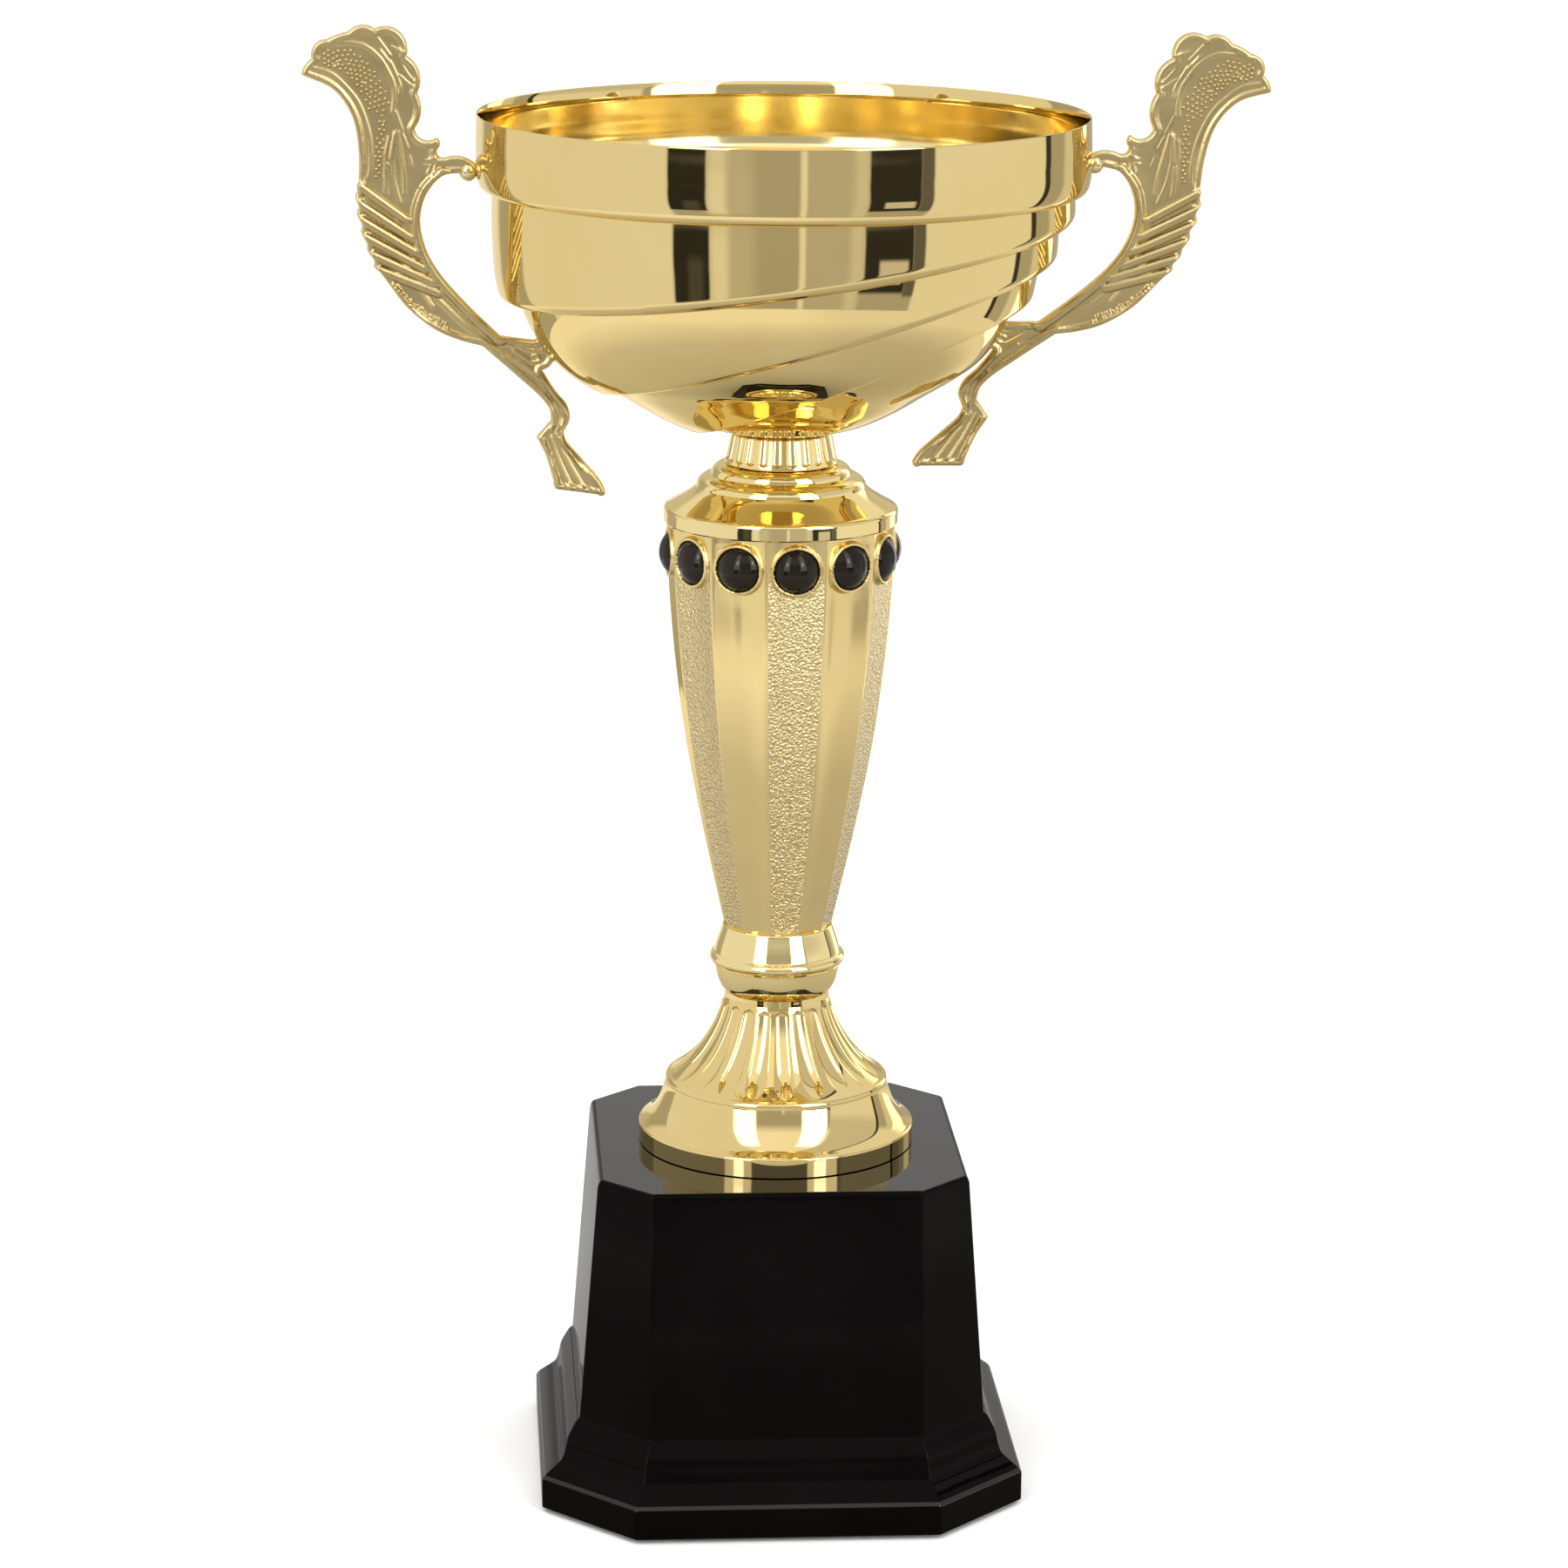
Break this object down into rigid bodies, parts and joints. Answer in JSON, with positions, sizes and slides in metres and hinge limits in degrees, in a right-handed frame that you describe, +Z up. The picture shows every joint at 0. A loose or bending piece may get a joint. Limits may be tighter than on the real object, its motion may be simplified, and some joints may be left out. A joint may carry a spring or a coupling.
{
  "type": "cup trophy",
  "caption": "Gold cup trophy: ledged bowl with two cast side handles, fluted neck, gem-ringed tapered column, bell foot and a black octagonal plinth.",
  "frame": {"origin": "centre of the underside of the base, on the trophy's axis", "axes": "+Z up along the trophy's axis; the base's front face looks towards -Y; the two handles lie along X, the left one towards -X"},
  "size_m": [0.2211, 0.1406, 0.344],
  "materials": {
    "gold_metal": "mirror-polished gold plate on thin spun metal",
    "gold_plastic": "vacuum-metallised gold on moulded plastic, polished, with stippled satin panels on the column",
    "gold_satin": "satin gold plate with bright polished edges",
    "black_cabochon": "polished black acrylic",
    "gloss_black": "high-gloss black moulding",
    "ballast": "cast plaster and cement, matt",
    "hardboard": "pressed board",
    "felt": "black felt",
    "zinc_steel": "bright zinc plate",
    "spring_steel": "plain spring steel",
    "fibre": "red-brown vulcanised fibre"
  },
  "bodies": {
    "root": {"base_shell": "gloss_black", "base_weight": "ballast", "base_cover": "hardboard", "base_felt": "felt", "tie_rod": "zinc_steel", "base_washer": "zinc_steel", "base_nut": "zinc_steel", "foot": "gold_plastic", "knop": "gold_plastic", "column": "gold_plastic", "gem_01": "black_cabochon", "gem_02": "black_cabochon", "gem_03": "black_cabochon", "gem_04": "black_cabochon", "gem_05": "black_cabochon", "gem_06": "black_cabochon", "gem_07": "black_cabochon", "gem_08": "black_cabochon", "gem_09": "black_cabochon", "gem_10": "black_cabochon", "gem_11": "black_cabochon", "gem_12": "black_cabochon", "shoulder": "gold_plastic", "neck": "gold_plastic", "bowl_seat_washer": "fibre", "bowl": "gold_metal", "bowl_washer": "zinc_steel", "bowl_nut": "zinc_steel", "handle_left": "gold_satin", "handle_right": "gold_satin", "push_nut_left_upper": "spring_steel", "push_nut_left_lower": "spring_steel", "push_nut_right_upper": "spring_steel", "push_nut_right_lower": "spring_steel"}
  },
  "joints": []
}
